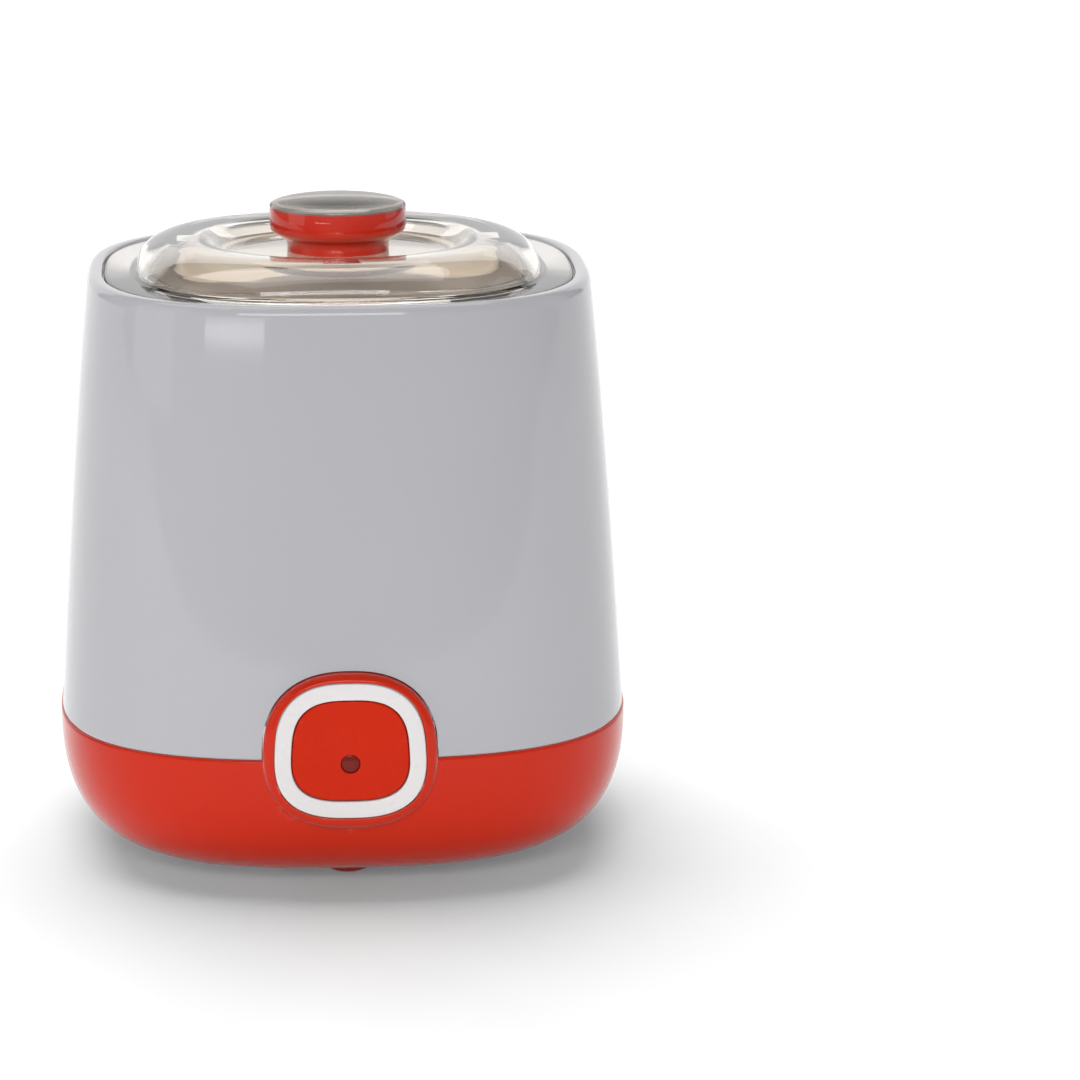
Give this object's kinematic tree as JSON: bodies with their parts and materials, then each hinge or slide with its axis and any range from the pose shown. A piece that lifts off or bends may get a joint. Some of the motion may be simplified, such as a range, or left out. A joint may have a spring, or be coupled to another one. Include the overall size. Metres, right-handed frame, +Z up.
{
  "type": "yogurt maker",
  "caption": "Electric yogurt maker: squarish bowl-bottomed case with a push-button panel, a heated well for a lidded jar, and a clear lift-off lid with a round knob.",
  "frame": {"origin": "on the surface the maker stands on, under the middle of its case", "axes": "+Z up, -Y towards the front with the power button, +X to the right seen from the front"},
  "size_m": [0.1772, 0.182, 0.2019],
  "materials": {
    "base_plastic": "glossy moulded orange-red plastic",
    "housing_plastic": "glossy light cool-grey plastic",
    "ring_plastic": "glossy near-white plastic",
    "button_plastic": "satin-gloss red plastic",
    "lens_plastic": "dark red clear plastic",
    "foot_rubber": "soft red rubber",
    "clear_plastic": "clear polished plastic",
    "knob_red": "red plastic core behind the clear skin",
    "knob_grey": "grey satin-gloss cap",
    "jar_plastic": "clear plastic",
    "jar_lid_plastic": "satin white plastic",
    "well_aluminium": "drawn aluminium",
    "seal_silicone": "grey silicone",
    "heater_silicone": "red-brown silicone heating mat",
    "zinc_steel": "zinc-plated steel",
    "thermostat_black": "black phenolic can",
    "fuse_metal": "tinned metal can",
    "board_laminate": "green board laminate",
    "switch_black": "black plastic",
    "led_red": "red diffused lamp",
    "gland_rubber": "grey cord gland",
    "clamp_plastic": "natural nylon",
    "lead_brown": "brown insulation",
    "lead_blue": "blue insulation",
    "lead_white": "white heat-proof sleeving"
  },
  "bodies": {
    "root": {"base_shell": "base_plastic", "rubber_feet": "foot_rubber", "upper_housing": "housing_plastic", "panel_ring": "ring_plastic", "button_spring": "zinc_steel", "heating_well": "well_aluminium", "well_seal": "seal_silicone", "well_screws": "zinc_steel", "heater_mat": "heater_silicone", "heater_clamp_plate": "zinc_steel", "well_stud": "zinc_steel", "clamp_nut": "zinc_steel", "thermostat": "thermostat_black", "thermostat_screws": "zinc_steel", "thermal_fuse": "fuse_metal", "fuse_clip": "zinc_steel", "control_board": "board_laminate", "push_switch": "switch_black", "indicator_led": "led_red", "board_screws": "zinc_steel", "cord_gland": "gland_rubber", "cord_clamp": "clamp_plastic", "cord_clamp_screws": "zinc_steel", "terminal_block": "clamp_plastic", "lead_supply_live": "lead_brown", "lead_supply_neutral": "lead_blue", "lead_board_thermostat": "lead_brown", "lead_thermostat_fuse": "lead_white", "housing_screws": "zinc_steel"},
    "button": {"power_button": "button_plastic", "indicator_lens": "lens_plastic", "switch_plunger": "clamp_plastic"},
    "jar": {"jar": "jar_plastic"},
    "jar_lid": {"jar_lid": "jar_lid_plastic"},
    "lid": {"lid_shell": "clear_plastic", "knob_shell": "clear_plastic", "knob_core": "knob_red", "knob_cap": "knob_grey", "knob_screw": "zinc_steel"}
  },
  "joints": [
    {"name": "power_button_press", "type": "slide", "parent": "root", "child": "button", "axis": [0, 1, 0], "range_m": [0, 0.002], "stiffness_N_per_m": 600, "springref_m": -0.002, "deforming": ["button_spring"]},
    {"name": "jar_lift", "type": "slide", "parent": "root", "child": "jar", "axis": [0, 0, 1], "range_m": [0, 0.15]},
    {"name": "jar_lid_lift", "type": "slide", "parent": "jar", "child": "jar_lid", "axis": [0, 0, 1], "range_m": [0, 0.04]},
    {"name": "lid_lift", "type": "slide", "parent": "jar_lid", "child": "lid", "axis": [0, 0, 1], "range_m": [0, 0.08]}
  ]
}
